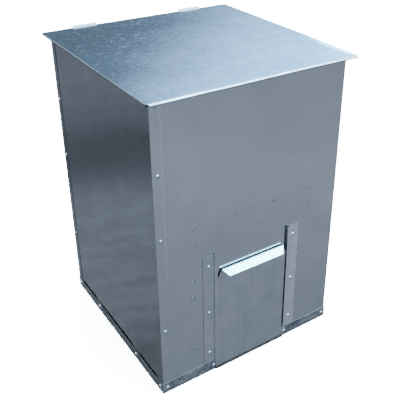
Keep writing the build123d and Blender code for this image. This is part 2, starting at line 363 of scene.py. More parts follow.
def ease(value):
    """Smooth step from 0 to 1."""
    value = min(max(value, 0.0), 1.0)
    return value * value * (3 - 2 * value)


def joined_copy(name):
    """Working copy of a CAD node, with its loose triangles joined."""
    weld_distance = 2e-6
    shape = bmesh.new()
    shape.from_mesh(NODES[name].data)
    bmesh.ops.remove_doubles(shape, verts=shape.verts, dist=weld_distance)
    return shape


def cad_copy(name):
    """Working copy of a CAD node, with its triangles joined and its flat areas merged."""
    flat_angle = math.radians(0.3)
    shape = joined_copy(name)
    bmesh.ops.dissolve_limit(shape, angle_limit=flat_angle, verts=shape.verts, edges=shape.edges)
    return shape


def cut(shape, axis, places):
    """Cut a shape across by planes, so that it can bend there."""
    normal = Vector((0, 0, 0))
    normal[axis] = 1
    for place in places:
        geometry = shape.verts[:] + shape.edges[:] + shape.faces[:]
        bmesh.ops.bisect_plane(
            shape, geom=geometry, plane_co=normal * place, plane_no=normal, dist=1e-6
        )


def cut_grid(shape, axes, pitch):
    """Cut a shape into a grid of faces along the given axes."""
    for axis in axes:
        low = min(vert.co[axis] for vert in shape.verts)
        high = max(vert.co[axis] for vert in shape.verts)
        count = round((high - low) / pitch)
        cut(shape, axis, [low + (high - low) * step / count for step in range(1, count)])


def is_cut_edge(face):
    """Whether a face is the narrow edge of a sheet, square to the faces beside it."""
    widest, steep = 1.15 * SHEET, math.radians(70)
    round_it = sum(edge.calc_length() for edge in face.edges)
    square = sum(edge.calc_length() for edge in face.edges if edge.calc_face_angle(0) > steep)
    return 2 * face.calc_area() / round_it < widest and square > 0.5 * round_it


def set_piece(name, mesh, crease, body, replaced):
    """Stand a finished mesh in the scene on a body, in place of its CAD nodes.

    crease is the angle in degrees from which an edge stays sharp.
    """
    mesh.shade_smooth()
    mesh.set_sharp_from_angle(angle=math.radians(crease))
    piece = bpy.data.objects.new(name, mesh)
    bpy.context.scene.collection.objects.link(piece)
    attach(piece, body)
    if replaced:
        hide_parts(*replaced)


def make_piece(shape, name, body, replaced, finish, edge_finish=None):
    """Turn a finished shape into a piece, with another finish on its cut edges if given."""
    for face in shape.faces:
        face.material_index = int(edge_finish is not None and is_cut_edge(face))
    crowded = [face for face in shape.faces if len(face.verts) > 4]
    bmesh.ops.triangulate(shape, faces=crowded)
    mesh = bpy.data.meshes.new(name)
    shape.to_mesh(mesh)
    shape.free()
    for material in (finish, edge_finish):
        if material:
            mesh.materials.append(material)
    set_piece(name, mesh, 24, body, replaced)


def wave_wall(shape, axis, place, depth, length, seed, calm=None):
    """Give one flat wall of a sheet the shallow waves that rolling and folding leave in it."""
    across = 1 - axis
    straight, fade = 0.004, 0.06
    low_z, high_z = BODY_LOW.z, BODY_HIGH.z
    for vert in shape.verts:
        if abs(vert.co[axis] - place) > 0.6 * SHEET:
            continue
        along, up = vert.co[across], vert.co.z
        mask = ease((HALF - straight - abs(along)) / fade) * ease((high_z - straight - up) / fade)
        mask *= ease((up - low_z) / fade)
        if calm:
            mask *= 1 - calm(along, up)
        ripple = noise.noise(Vector((along / length, up / (1.6 * length), seed)))
        ripple += 0.35 * noise.noise(Vector((2.3 * along / length, 2.0 * up / length, seed + 7)))
        vert.co[axis] += depth * mask * ripple


# Finishes


def stretched_noise(tree, place, size, turn, **inputs):
    """Noise whose features have a given size along X, Y and Z, turned about X and Z."""
    about_x, about_z = turn
    way = add_node(
        tree,
        "ShaderNodeMapping",
        {"Vector": place, "Rotation": (about_x, 0, about_z), "Scale": size},
        vector_type="TEXTURE",
    )
    return add_node(tree, "ShaderNodeTexNoise", {"Vector": way, "Scale": 1.0, **inputs})


def metal_finish(name, dark, light, rough, sizes, weights, bump, tilt=0.0, smear=None, darker_below=0.0):
    """Bare metal whose colour and gloss vary in streaks, grain and blotches.

    dark and light are its colours, and rough its lowest and highest roughness. sizes holds
    the size of a streak along X, Y and Z, then of a grain and of a blotch, all in metres.
    weights says how much streaks, grain and blotches count, bump is the depth of their
    relief, and tilt turns the streaks about X. smear is a pair: the roughness of wiped
    strokes, and their size along X, Y and Z. The last argument is the height below which
    the metal turns darker and mottled towards the bottom. The sheets' real grain is under
    1 mm, too fine to show, so it is drawn at 4 to 6 mm.
    """
    finish = bpy.data.materials.get(name)
    if finish:
        return finish
    finish = bpy.data.materials.new(name)
    tree = empty_tree(finish)
    streak, grain, blotch = sizes
    place = add_node(tree, "ShaderNodeTexCoord").outputs["Object"]
    streaks = stretched_noise(tree, place, streak, (tilt, 0), Detail=4.0, Roughness=0.62)
    grains = stretched_noise(tree, place, (grain, grain, grain), (0, 0), Detail=3.0, Roughness=0.7)
    blotches = stretched_noise(
        tree, place, (blotch, blotch, blotch), (0, 0), Detail=5.0, Roughness=0.55, Distortion=0.4
    )
    marks = 0.5 - 0.5 * sum(weights)
    for pattern, weight in zip((streaks, grains, blotches), weights):
        marks = add_node(
            tree, "ShaderNodeMath", {0: pattern, 1: weight, 2: marks}, operation="MULTIPLY_ADD"
        )
    colour = add_node(
        tree, "ShaderNodeMix", {0: marks, 6: linear(dark), 7: linear(light)}, data_type="RGBA"
    )
    low, high = rough
    gloss = add_node(tree, "ShaderNodeMapRange", {"Value": marks, "To Min": high, "To Max": low})
    if smear:
        amount, size = smear
        wiped = stretched_noise(
            tree, place, size, (tilt, 0.15), Detail=6.0, Roughness=0.7, Distortion=0.6
        )
        dull = add_node(
            tree,
            "ShaderNodeMapRange",
            {"Value": wiped, "From Min": 0.5, "From Max": 0.7, "To Max": amount},
        )
        gloss = add_node(tree, "ShaderNodeMath", {0: gloss, 1: dull}, operation="ADD")
    # Darker and mottled towards the bottom, below the given height.
    if darker_below:
        up = add_node(tree, "ShaderNodeSeparateXYZ", {"Vector": place}).outputs["Z"]
        low_down = add_node(
            tree, "ShaderNodeMapRange", {"Value": up, "From Min": darker_below, "From Max": 0.5 * darker_below}
        )
        low_darkening = add_node(
            tree, "ShaderNodeMapRange", {"Value": grains, "From Min": 0.3, "From Max": 0.55}
        )
        low_darkening = add_node(tree, "ShaderNodeMath", {0: low_darkening, 1: low_down}, operation="MULTIPLY")
        colour = add_node(
            tree, "ShaderNodeMix", {0: low_darkening, 6: colour, 7: linear("4a4e53")}, data_type="RGBA"
        )
    relief = add_node(tree, "ShaderNodeMath", {0: streaks, 1: grains}, operation="ADD")
    bumps = add_node(tree, "ShaderNodeBump", {"Height": relief, "Strength": 1.0, "Distance": bump})
    surface = add_node(
        tree,
        "ShaderNodeBsdfPrincipled",
        {"Base Color": colour, "Metallic": 1.0, "Roughness": gloss, "Normal": bumps},
    )
    add_node(tree, "ShaderNodeOutputMaterial", {"Surface": surface})
    return finish


def wall_zinc():
    # Cold-rolled sheet with a thin electroplated zinc coat: a smooth grey that mirrors
    # softly, with the faintest streaks down the rolling direction.
    return metal_finish(
        "wall_zinc",
        "bcbfc2",
        "cfd2d5",
        rough=(0.1, 0.17),
        sizes=((0.014, 0.014, 0.3), 0.004, 0.12),
        weights=(0.5, 0.4, 1.2),
        bump=0.000008,
        smear=(0.05, (0.05, 0.05, 0.012)),
    )


def side_zinc():
    # The same sheet, smoother and wiped down crosswise, so that it mirrors more sharply.
    return metal_finish(
        "side_zinc",
        "b2b5b9",
        "d0d3d6",
        rough=(0.05, 0.09),
        sizes=((0.1, 0.11, 0.007), 0.004, 0.08),
        weights=(1.0, 0.4, 1.0),
        bump=0.000006,
        tilt=-0.42,
        smear=(0.07, (0.06, 0.08, 0.01)),
    )


def lid_zinc():
    # The same coat on the sheet that gets handled and rained on: fine strokes across the
    # lid, and wiped, cloudy patches.
    return metal_finish(
        "lid_zinc",
        "a6aaae",
        "d4d7da",
        rough=(0.05, 0.15),
        sizes=((0.018, 0.01, 0.01), 0.005, 0.045),
        weights=(0.8, 1.3, 1.6),
        bump=0.00002,
        smear=(0.18, (0.013, 0.008, 0.01)),
    )


def pan_zinc():
    # Zinc that litter and damp floors have dulled: darker, mottled with white bloom.
    return metal_finish(
        "pan_zinc",
        "63676c",
        "cdd1d5",
        rough=(0.18, 0.4),
        sizes=((0.03, 0.03, 0.006), 0.006, 0.022),
        weights=(0.8, 1.4, 2.2),
        bump=0.00006,
        smear=(0.1, (0.03, 0.03, 0.006)),
        darker_below=0.008,
    )


def rail_zinc_with_painted_light(name, dark, light):
    # Narrow strip cut from slightly warmer, duller stock. The right rail's much lighter
    # colours are painted light: a lit copy of this finish beside the left rail's one.
    return metal_finish(
        name,
        dark,
        light,
        rough=(0.16, 0.3),
        sizes=((0.006, 0.006, 0.09), 0.004, 0.03),
        weights=(0.9, 0.7, 2.0),
        bump=0.00002,
        darker_below=0.03,
    )


def gate_zinc():
    # Wall sheet that has been rubbed up and down by its rails, and that is darker and
    # mottled towards its bottom edge.
    return metal_finish(
        "gate_zinc",
        "b6babe",
        "d2d5d8",
        rough=(0.1, 0.2),
        sizes=((0.008, 0.008, 0.2), 0.004, 0.05),
        weights=(0.9, 0.5, 1.6),
        bump=0.00001,
        smear=(0.1, (0.03, 0.03, 0.02)),
        darker_below=0.014,
    )


def cut_edge():
    # Bare steel left by the shear along a sheet's edge: dull, darker than the zinc, and
    # brownish where it has begun to rust.
    return metal_finish(
        "cut_edge",
        "5a5048",
        "8a8078",
        rough=(0.42, 0.55),
        sizes=((0.004, 0.004, 0.004), 0.0012, 0.02),
        weights=(0.5, 0.8, 1.0),
        bump=0.00002,
    )


def weld_scale():
    # Zinc burnt off under the electrode: dull, faintly brown.
    return metal_finish(
        "weld_scale",
        "5c5752",
        "8e8983",
        rough=(0.25, 0.42),
        sizes=((0.003, 0.003, 0.003), 0.001, 0.01),
        weights=(0.6, 0.8, 0.8),
        bump=0.00001,
    )


def hinge_steel():
    # Pressed steel with bright zinc plating, which stays almost white and quite sharp.
    return metal_finish(
        "hinge_steel",
        "dcdcdc",
        "f4f3f1",
        rough=(0.2, 0.32),
        sizes=((0.02, 0.004, 0.004), 0.002, 0.015),
        weights=(0.6, 0.6, 0.8),
        bump=0.00001,
    )


def drawn_aluminium():
    # Plain aluminium drawn smooth by the riveting tool.
    return metal_finish(
        "drawn_aluminium",
        "d2d0ce",
        "e8e6e3",
        rough=(0.2, 0.3),
        sizes=((0.004, 0.004, 0.004), 0.0015, 0.01),
        weights=(0.5, 0.5, 0.8),
        bump=0.00001,
    )


def mandrel_steel():
    # The torn end of the steel mandrel, dark and rough.
    return metal_finish(
        "mandrel_steel",
        "505356",
        "808387",
        rough=(0.4, 0.55),
        sizes=((0.001, 0.001, 0.001), 0.0008, 0.004),
        weights=(0.5, 0.8, 0.8),
        bump=0.00001,
    )


# Geometry node trees


def begin_tree(name, sizes):
    """New geometry tree with a mesh input, named sizes, and two named materials."""
    tree = bpy.data.node_groups.new(name, "GeometryNodeTree")
    face = tree.interface
    face.new_socket("Geometry", in_out="INPUT", socket_type="NodeSocketGeometry")
    face.new_socket("Geometry", in_out="OUTPUT", socket_type="NodeSocketGeometry")
    for size in sizes:
        face.new_socket(size, in_out="INPUT", socket_type="NodeSocketFloat")
    face.new_socket("Sides", in_out="INPUT", socket_type="NodeSocketInt")
    for material in ("Main Material", "Centre Material"):
        face.new_socket(material, in_out="INPUT", socket_type="NodeSocketMaterial")
    return tree, add_node(tree, "NodeGroupInput").outputs


def scatter(tree, given, main, centre, uneven=0.0):
    """Stand a shape of two materials on every point, turned to the point's own axis."""
    painted = [
        add_node(tree, "GeometryNodeSetMaterial", {"Geometry": part, "Material": given[material]})
        for part, material in ((main, "Main Material"), (centre, "Centre Material"))
    ]
    shape = add_node(tree, "GeometryNodeJoinGeometry", {0: painted})
    axis = add_node(
        tree, "GeometryNodeInputNamedAttribute", {"Name": "axis"}, data_type="FLOAT_VECTOR"
    )
    turn = add_node(tree, "FunctionNodeAlignRotationToVector", {"Vector": axis}, axis="Z")
    size = add_node(
        tree,
        "FunctionNodeRandomValue",
        {"Min": 1 - uneven, "Max": 1 + uneven, "Seed": 4},
        data_type="FLOAT",
    )
    stood = add_node(
        tree,
        "GeometryNodeInstanceOnPoints",
        {"Points": given["Geometry"], "Instance": shape, "Rotation": turn, "Scale": size},
    )
    solid = add_node(tree, "GeometryNodeRealizeInstances", {"Geometry": stood})
    add_node(tree, "NodeGroupOutput", {0: solid})


def dome(tree, radius, height, sides):
    """Closed dome: the upper half of a flattened ball, with a floor."""
    ball = add_node(
        tree, "GeometryNodeMeshUVSphere", {"Segments": sides, "Rings": 12, "Radius": radius}
    )
    place = add_node(tree, "GeometryNodeInputPosition")
    up = add_node(tree, "ShaderNodeSeparateXYZ", {"Vector": place}).outputs["Z"]
    below = add_node(
        tree, "FunctionNodeCompare", {"A": up, "B": -1e-6}, data_type="FLOAT", operation="LESS_THAN"
    )
    cap = add_node(
        tree, "GeometryNodeDeleteGeometry", {"Geometry": ball, "Selection": below}, domain="POINT"
    )
    floor = add_node(
        tree, "GeometryNodeMeshCircle", {"Vertices": sides, "Radius": radius}, fill_type="NGON"
    )
    floor = add_node(tree, "GeometryNodeFlipFaces", {"Mesh": floor})
    both = add_node(tree, "GeometryNodeJoinGeometry", {0: [cap, floor]})
    closed = add_node(tree, "GeometryNodeMergeByDistance", {"Geometry": both, "Distance": 1e-6})
    flat = add_node(tree, "ShaderNodeMath", {0: height, 1: radius}, operation="DIVIDE")
    squash = add_node(tree, "ShaderNodeCombineXYZ", {"X": 1.0, "Y": 1.0, "Z": flat})
    return add_node(tree, "GeometryNodeTransform", {"Geometry": closed, "Scale": squash})


def rivet_head_tree():
    """Domed blind-rivet heads with the mandrel's broken stub in the middle."""
    tree, given = begin_tree("Rivet heads", ["Head Radius", "Head Height", "Stub Radius"])
    cap = dome(tree, given["Head Radius"], given["Head Height"], given["Sides"])
    stub = add_node(
        tree,
        "GeometryNodeMeshCylinder",
        {"Vertices": 12, "Radius": given["Stub Radius"], "Depth": given["Head Height"]},
    )
    rise = add_node(
        tree, "ShaderNodeMath", {0: given["Head Height"], 1: 0.56}, operation="MULTIPLY"
    )
    lift = add_node(tree, "ShaderNodeCombineXYZ", {"Z": rise})
    stub = add_node(tree, "GeometryNodeTransform", {"Geometry": stub, "Translation": lift})
    scatter(tree, given, cap, stub)
    return tree


def rivet_tail_tree():
    """Swollen rivet ends on the inside, with the mandrel's ball in the tip."""
    sizes = ["Tail Radius", "Neck Radius", "Tail Length", "Ball Radius", "Ball Height"]
    tree, given = begin_tree("Rivet tails", sizes)
    barrel = add_node(
        tree,
        "GeometryNodeMeshCone",
        {
            "Vertices": given["Sides"],
            "Radius Top": given["Neck Radius"],
            "Radius Bottom": given["Tail Radius"],
            "Depth": given["Tail Length"],
        },
    )
    ball = dome(tree, given["Ball Radius"], given["Ball Height"], 12)
    lift = add_node(tree, "ShaderNodeCombineXYZ", {"Z": given["Tail Length"]})
    ball = add_node(tree, "GeometryNodeTransform", {"Geometry": ball, "Translation": lift})
    scatter(tree, given, barrel, ball)
    return tree


def weld_mark_tree():
    """Raised ring and low button that a spot-welding electrode leaves in a sheet."""
    sizes = ["Ring Radius", "Ring Relief", "Button Radius", "Button Height"]
    tree, given = begin_tree("Weld marks", sizes)
    path = add_node(
        tree,
        "GeometryNodeCurvePrimitiveCircle",
        {"Resolution": given["Sides"], "Radius": given["Ring Radius"]},
    )
    section = add_node(
        tree, "GeometryNodeCurvePrimitiveCircle", {"Resolution": 8, "Radius": given["Ring Relief"]}
    )
    ring = add_node(tree, "GeometryNodeCurveToMesh", {"Curve": path, "Profile Curve": section})
    button = dome(tree, given["Button Radius"], given["Button Height"], 16)
    scatter(tree, given, ring, button, uneven=0.2)
    return tree


def grow_piece(name, places, tree, values, replaced):
    """Run a tree on points of the box, each a place and an axis, and keep the plain result."""
    mesh = bpy.data.meshes.new(name + "_points")
    mesh.from_pydata([place for place, _ in places], [], [])
    axes = mesh.attributes.new("axis", "FLOAT_VECTOR", "POINT")
    for at, (_, axis) in enumerate(places):
        axes.data[at].vector = axis
    seed = bpy.data.objects.new(name + "_points", mesh)
    bpy.context.scene.collection.objects.link(seed)
    modifier = seed.modifiers.new(name, "NODES")
    modifier.node_group = tree
    for socket in tree.interface.items_tree:
        if socket.in_out == "INPUT" and socket.name in values:
            modifier[socket.identifier] = values[socket.name]
    depsgraph = bpy.context.evaluated_depsgraph_get()
    made = bpy.data.meshes.new_from_object(seed.evaluated_get(depsgraph), depsgraph=depsgraph)
    bpy.data.objects.remove(seed)
    made.name = name
    if "axis" in made.attributes:
        made.attributes.remove(made.attributes["axis"])
    while made.materials[0] is None:
        made.materials.pop(index=0)
    set_piece(name, made, 35, "box", replaced)


def rivets_of(row):
    """Seat, inner end and axis of each rivet in a CAD row, read from its separate solids."""
    low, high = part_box(row)
    middle = (low + high) / 2
    flat = 0 if abs(middle.x) > HALF - 0.01 else 1
    outwards = math.copysign(1, middle[flat])
    axis = Vector((0, 0, 0))
    axis[flat] = outwards
    shape = joined_copy(row)
    met, found = set(), []
    for first in shape.verts:
        if first in met:
            continue
        met.add(first)
        queue, group = [first], []
        while queue:
            vert = queue.pop()
            group.append(vert.co)
            for edge in vert.link_edges:
                other = edge.other_vert(vert)
                if other not in met:
                    met.add(other)
                    queue.append(other)
        corner_low = Vector([min(co[i] for co in group) for i in range(3)])
        corner_high = Vector([max(co[i] for co in group) for i in range(3)])
        seat = (corner_low + corner_high) / 2
        inside = seat.copy()
        depths = sorted({round(co[flat] * outwards, 6) for co in group})
        seat[flat] = outwards * depths[-2]
        inside[flat] = outwards * depths[1]
        found.append((seat, inside, axis))
    shape.free()
    return found


# Operators


class NESTING_OT_stage(bpy.types.Operator):
    """Set up the floor, the backdrop, the soft lights and the camera"""

    bl_idname = "nesting_box.stage"
    bl_label = "Studio"

    def execute(self, context):
        scene = context.scene
        setup = scene.nesting_studio
        self.lay_floor(scene)
        self.hang_lights(scene, setup)
        self.light_yard(scene)
        self.stand_camera(scene, setup)
        return {"FINISHED"}

    def stage_object(self, scene, name, shape, finish):
        """Stage object made from a shape, which the metal doesn't mirror."""
        mesh = bpy.data.meshes.new(name)
        shape.to_mesh(mesh)
        shape.free()
        mesh.materials.append(finish)
        made = bpy.data.objects.new(name, mesh)
        scene.collection.objects.link(made)
        made.visible_glossy = False
        return made

    def lay_floor(self, scene):
        """Pale floor, and a pale backdrop round it that the camera alone sees."""
        floor_radius, backdrop_radius = 30, 29.5
        pale = bpy.data.materials.new("pale_floor")
        tree = empty_tree(pale)
        place = add_node(tree, "ShaderNodeTexCoord").outputs["Object"]
        cloud = add_node(tree, "ShaderNodeTexNoise", {"Vector": place, "Scale": 1.5, "Detail": 2.0})
        colour = add_node(
            tree,
            "ShaderNodeMix",
            {0: cloud, 6: linear("f4f5f6"), 7: linear("f8f8f8")},
            data_type="RGBA",
        )
        surface = add_node(tree, "ShaderNodeBsdfDiffuse", {"Color": colour})
        add_node(tree, "ShaderNodeOutputMaterial", {"Surface": surface})
        shape = bmesh.new()
        bmesh.ops.create_circle(shape, cap_ends=True, radius=floor_radius, segments=96)
        floor = self.stage_object(scene, "floor", shape, pale)

        glow = bpy.data.materials.new("pale_backdrop")
        tree = empty_tree(glow)
        light = add_node(tree, "ShaderNodeEmission", {"Color": linear("fafafa"), "Strength": 20.0})
        add_node(tree, "ShaderNodeOutputMaterial", {"Surface": light})
        shape = bmesh.new()
        bmesh.ops.create_icosphere(shape, subdivisions=4, radius=backdrop_radius)
        bmesh.ops.reverse_faces(shape, faces=shape.faces)
        backdrop = self.stage_object(scene, "backdrop", shape, glow)
        backdrop.visible_diffuse = False
        backdrop.visible_shadow = False

    def hang_lights(self, scene, setup):
        """Soft light from above and over the front right, which the metal doesn't mirror."""
        sun = bpy.data.lights.new("floor_light", "SUN")
        sun.energy = setup.floor_light
        sun.angle = math.radians(120)
        over = bpy.data.objects.new("floor_light", sun)
        over.rotation_euler = (math.radians(-12), math.radians(14), 0)

        key = bpy.data.lights.new("key_light", "AREA")
        key.energy = setup.key_power
        key.shape = "RECTANGLE"
        key.size, key.size_y = 1.5, 1.0
        softbox = bpy.data.objects.new("key_light", key)
        target, distance = Vector((0, -0.3, 0.4)), 2.6
        aim = Vector((0.49, -0.40, 0.77)).normalized()
        softbox.location = target + distance * aim
        softbox.rotation_euler = aim.to_track_quat("Z", "Y").to_euler()

        for lamp in (over, softbox):
            lamp.visible_glossy = False
            scene.collection.objects.link(lamp)

    def stand_camera(self, scene, setup):
        """Camera with its lens, shift and place."""
        camera = bpy.data.cameras.new("camera")
        camera.sensor_width = 36
        camera.lens = setup.lens
        camera.shift_x, camera.shift_y = setup.shift
        camera.dof.use_dof = False
        camera.clip_start, camera.clip_end = 0.01, 200
        turn, dip, roll = setup.heading, setup.pitch, setup.roll
        forward = Vector(
            (-math.sin(turn) * math.cos(dip), math.cos(turn) * math.cos(dip), -math.sin(dip))
        )
        level = Vector((math.cos(turn), math.sin(turn), 0))
        upright = level.cross(forward)
        right = level * math.cos(roll) + upright * math.sin(roll)
        up = upright * math.cos(roll) - level * math.sin(roll)
        stand = bpy.data.objects.new("camera", camera)
        axes = Matrix((right, up, -forward)).transposed()
        stand.matrix_world = Matrix.Translation(Vector(setup.camera_place)) @ axes.to_4x4()
        scene.collection.objects.link(stand)
        scene.camera = stand

    def light_yard(self, scene):
        """Yard that the metal mirrors: banded ground, dark horizon, bright sky on one side."""
        soft = {"interpolation_type": "SMOOTHSTEP"}
        scene.world = bpy.data.worlds.new("yard")
        tree = empty_tree(scene.world)
        way = add_node(tree, "ShaderNodeTexCoord").outputs["Generated"]
        parts = add_node(tree, "ShaderNodeSeparateXYZ", {"Vector": way}).outputs
        height = parts["Z"]

        flat = add_node(tree, "ShaderNodeMapping", {"Vector": way, "Scale": (8, 8, 100)})
        bands = add_node(
            tree,
            "ShaderNodeTexNoise",
            {"Vector": flat, "Scale": 1.0, "Detail": 4.0, "Roughness": 0.6},
        )
        shifted = add_node(
            tree, "ShaderNodeMath", {0: bands, 1: 0.06, 2: height}, operation="MULTIPLY_ADD"
        )
        level = add_node(
            tree, "ShaderNodeMapRange", {"Value": shifted, "From Min": -0.97, "From Max": 1.03}
        )
        sunward = add_node(
            tree, "ShaderNodeVectorMath", {0: way, 1: direction(*SUN_WAY)}, operation="DOT_PRODUCT"
        )
        sunward = add_node(
            tree, "ShaderNodeMapRange", {"Value": sunward, "From Min": 0.0, "From Max": 0.5}
        )
        ramps = []
        for share, rows in ((level, SHADED_GROUND), (level, OPEN_GROUND), (sunward, SKY)):
            ramps.append(add_node(tree, "ShaderNodeValToRGB", {"Fac": share}))
            stops = ramps[-1].color_ramp.elements
            for place, code, strength in rows:
                ends = {0.0: stops[0], 1.0: stops[-1]}
                stop = ends[place] if place in ends else stops.new(place)
                stop.color = glowing(code, strength)
        shaded, open_ground, sky = ramps

        front = add_node(
            tree,
            "ShaderNodeMapRange",
            {"Value": parts["Y"], "From Min": 0.25, "From Max": -0.25},
            **soft,
        )
        ground = add_node(
            tree, "ShaderNodeMix", {0: front, 6: shaded, 7: open_ground}, data_type="RGBA"
        )
        streaked = add_node(
            tree, "ShaderNodeMapRange", {"Value": bands, "From Min": 0.3, "From Max": 0.7}, **soft
        )
        streaked = add_node(
            tree, "ShaderNodeMapRange", {"Value": streaked, "To Min": 0.82, "To Max": 1.18}
        )
        tone = add_node(tree, "ShaderNodeCombineXYZ", {"X": streaked, "Y": streaked, "Z": streaked})
        steep = add_node(
            tree,
            "ShaderNodeMapRange",
            {"Value": height, "From Min": -0.4, "From Max": -0.5},
            **soft,
        )
        ground = add_node(
            tree,
            "ShaderNodeMix",
            {0: steep, 6: ground, 7: tone},
            data_type="RGBA",
            blend_type="MULTIPLY",
        )
        above = add_node(
            tree,
            "ShaderNodeMapRange",
            {"Value": height, "From Min": 0.06, "From Max": 0.24},
            **soft,
        )
        colour = add_node(tree, "ShaderNodeMix", {0: above, 6: ground, 7: sky}, data_type="RGBA")

        for middle, inner, outer, code, strength in WINDOWS:
            towards = direction(*middle)
            facing = add_node(
                tree, "ShaderNodeVectorMath", {0: way, 1: towards}, operation="DOT_PRODUCT"
            )
            edge, core = math.cos(math.radians(outer)), math.cos(math.radians(inner))
            share = add_node(
                tree,
                "ShaderNodeMapRange",
                {"Value": facing, "From Min": edge, "From Max": core},
                **soft,
            )
            colour = add_node(
                tree,
                "ShaderNodeMix",
                {0: share, 6: colour, 7: glowing(code, strength)},
                data_type="RGBA",
            )
        light = add_node(tree, "ShaderNodeBackground", {"Color": colour, "Strength": 1.0})
        add_node(tree, "ShaderNodeOutputWorld", {"Surface": light})


class NESTING_OT_walls(bpy.types.Operator):
    """Make the four walls as thin sheets with shallow waves and the seam's crease"""

    bl_idname = "nesting_box.walls"
    bl_label = "Walls"

    def execute(self, context):
        sizes = context.scene.nesting_sheet
        depth, length = sizes.wall_wave, sizes.wave_length
        outer = HALF - SHEET / 2
        finish, bare = wall_zinc(), cut_edge()

        shape = cad_copy("front_right_shell")
        cut_grid(shape, (0, 1, 2), sizes.grid)
        crease_at, crease_cut, crease_width = -HALF + SEAM_FLANGE, 0.0012, 0.0016
        cut(shape, 0, [crease_at + step * crease_cut for step in range(-3, 4)])
        wave_wall(shape, 1, -outer, depth, length, seed=3, calm=self.near_gate)
        wave_wall(shape, 0, outer, depth, length, seed=11)
        flange_low, flange_high = 0.035, 0.745
        for vert in shape.verts:
            if vert.co.y < -HALF + 1.6 * SHEET and flange_low < vert.co.z < flange_high:
                ridge = math.exp(-(((vert.co.x - crease_at) / crease_width) ** 2))
                vert.co.y -= sizes.seam_crease * ridge
        make_piece(
            shape,
            "front_and_right_wall",
            "box",
            ["front_right_shell"],
            finish,
            bare,
        )

        shape = cad_copy("left_side_panel")
        cut_grid(shape, (1, 2), sizes.grid)
        wave_wall(shape, 0, -outer, 1.3 * depth, 1.4 * length, seed=23)
        make_piece(
            shape, "left_wall", "box", ["left_side_panel"], side_zinc(), bare
        )

        shape = cad_copy("back_panel")
        cut_grid(shape, (0, 2), sizes.grid)
        wave_wall(shape, 1, outer, depth, length, seed=31)
        make_piece(shape, "back_wall", "box", ["back_panel"], finish, bare)

        for name in ("inner_header", "inner_stile_left", "inner_stile_right"):
            piece = name.replace("inner_", "stiffening_")
            make_piece(cad_copy(name), piece, "box", [name], finish, bare)
        return {"FINISHED"}

    def near_gate(self, along, up):
        """How far the gate's rails and the stiffeners hold the front flat, from 0 to 1."""
        beside = ease((FLAT_HALF - abs(along)) / FLAT_FADE)
        return beside * ease((FLAT_TOP - up) / FLAT_FADE)


class NESTING_OT_pan(bpy.types.Operator):
    """Make the base pan, whose edge bows out between its rivets"""

    bl_idname = "nesting_box.pan"
    bl_label = "Base pan"

    def execute(self, context):
        sizes = context.scene.nesting_sheet
        shape = cad_copy("base_pan")
        cut_grid(shape, (0, 1), sizes.grid)
        cut(shape, 2, [PAN_HEIGHT * step / 5 for step in range(1, 5)])
        for row, axis, share in (
            ("rivets_pan_left", 0, 1.0),
            ("rivets_pan_right", 0, 1.0),
            ("rivets_pan_back", 1, 0.7),
        ):
            held = [(seat[1 - axis], seat[axis]) for seat, _, _ in rivets_of(row)]
            outwards = math.copysign(1, held[0][1])
            for vert in shape.verts:
                if vert.co[axis] * outwards < HALF + 0.1 * SHEET or vert.co.z < 2 * SHEET:
                    continue
                along = vert.co[1 - axis]
                swell = self.bow_share(along, min(abs(along - place) for place, _ in held))
                uneven = 0.85 + 0.5 * noise.noise(Vector((along * 14, axis * 5, 2.0)))
                rise = (vert.co.z / PAN_HEIGHT) ** 1.4
                vert.co[axis] += outwards * share * sizes.pan_bow * swell * uneven * rise
        make_piece(
            shape, "floor_pan", "box", ["base_pan"], pan_zinc(), cut_edge()
        )
        return {"FINISHED"}

    def bow_share(self, along, away):
        """Share of the bow at a place along a wall and a distance away from a rivet."""
        clamped, spring, corner = 0.006, 0.022, 0.03
        return ease((away - clamped) / spring) * ease((HALF - abs(along)) / corner)


class NESTING_OT_lid(bpy.types.Operator):
    """Make the lid: a slightly wavy sheet rolled under along its four edges"""

    bl_idname = "nesting_box.lid"
    bl_label = "Lid"

    def execute(self, context):
        sizes = context.scene.nesting_sheet
        shape = cad_copy("lid_sheet")
        cut_grid(shape, (0, 1), sizes.grid)
        crease_cut, crease_width = 0.0015, 0.0022
        for axis in (0, 1):
            for edge, inwards in ((LID_LOW[axis], 1), (LID_HIGH[axis], -1)):
                steps = [LID_HEM + step * crease_cut for step in (-6, -4, -2, -1, 0, 1, 2)]
                cut(shape, axis, [edge + inwards * step for step in steps])
        plate = LID_HIGH.z - SHEET - 1e-5
        hinge_strip, rear_fade = 0.03, 0.12
        for vert in shape.verts:
            x, y = vert.co.x, vert.co.y
            front, left = y - LID_LOW.y, x - LID_LOW.x
            edge = min(left, LID_HIGH.x - x, front, LID_HIGH.y - y)
            if vert.co.z > plate:
                share = 0.3 if front < 1.5 * LID_HEM else 1.0
                dip = math.exp(-(((edge - LID_HEM) / crease_width) ** 2))
                vert.co.z -= share * sizes.lid_crease * dip
            share = 1.1 if edge == front else 0.4 if edge == left else 1.0
            vert.co.z -= sizes.hem_droop * share * max(1 - edge / LID_HEM, 0.0) ** 3.0
            swell = 0.5 + 0.55 * noise.noise(Vector((x / 0.21, y / 0.26, 5.0)))
            swell += 0.2 * noise.noise(Vector((x / 0.09, y / 0.12, 9.0)))
            free = ease((LID_HIGH.y - hinge_strip - y) / rear_fade)
            vert.co.z += sizes.lid_wave * max(swell, 0.0) * free
        make_piece(
            shape, "rolled_lid", "lid", ["lid_sheet"], lid_zinc(), cut_edge()
        )
        return {"FINISHED"}


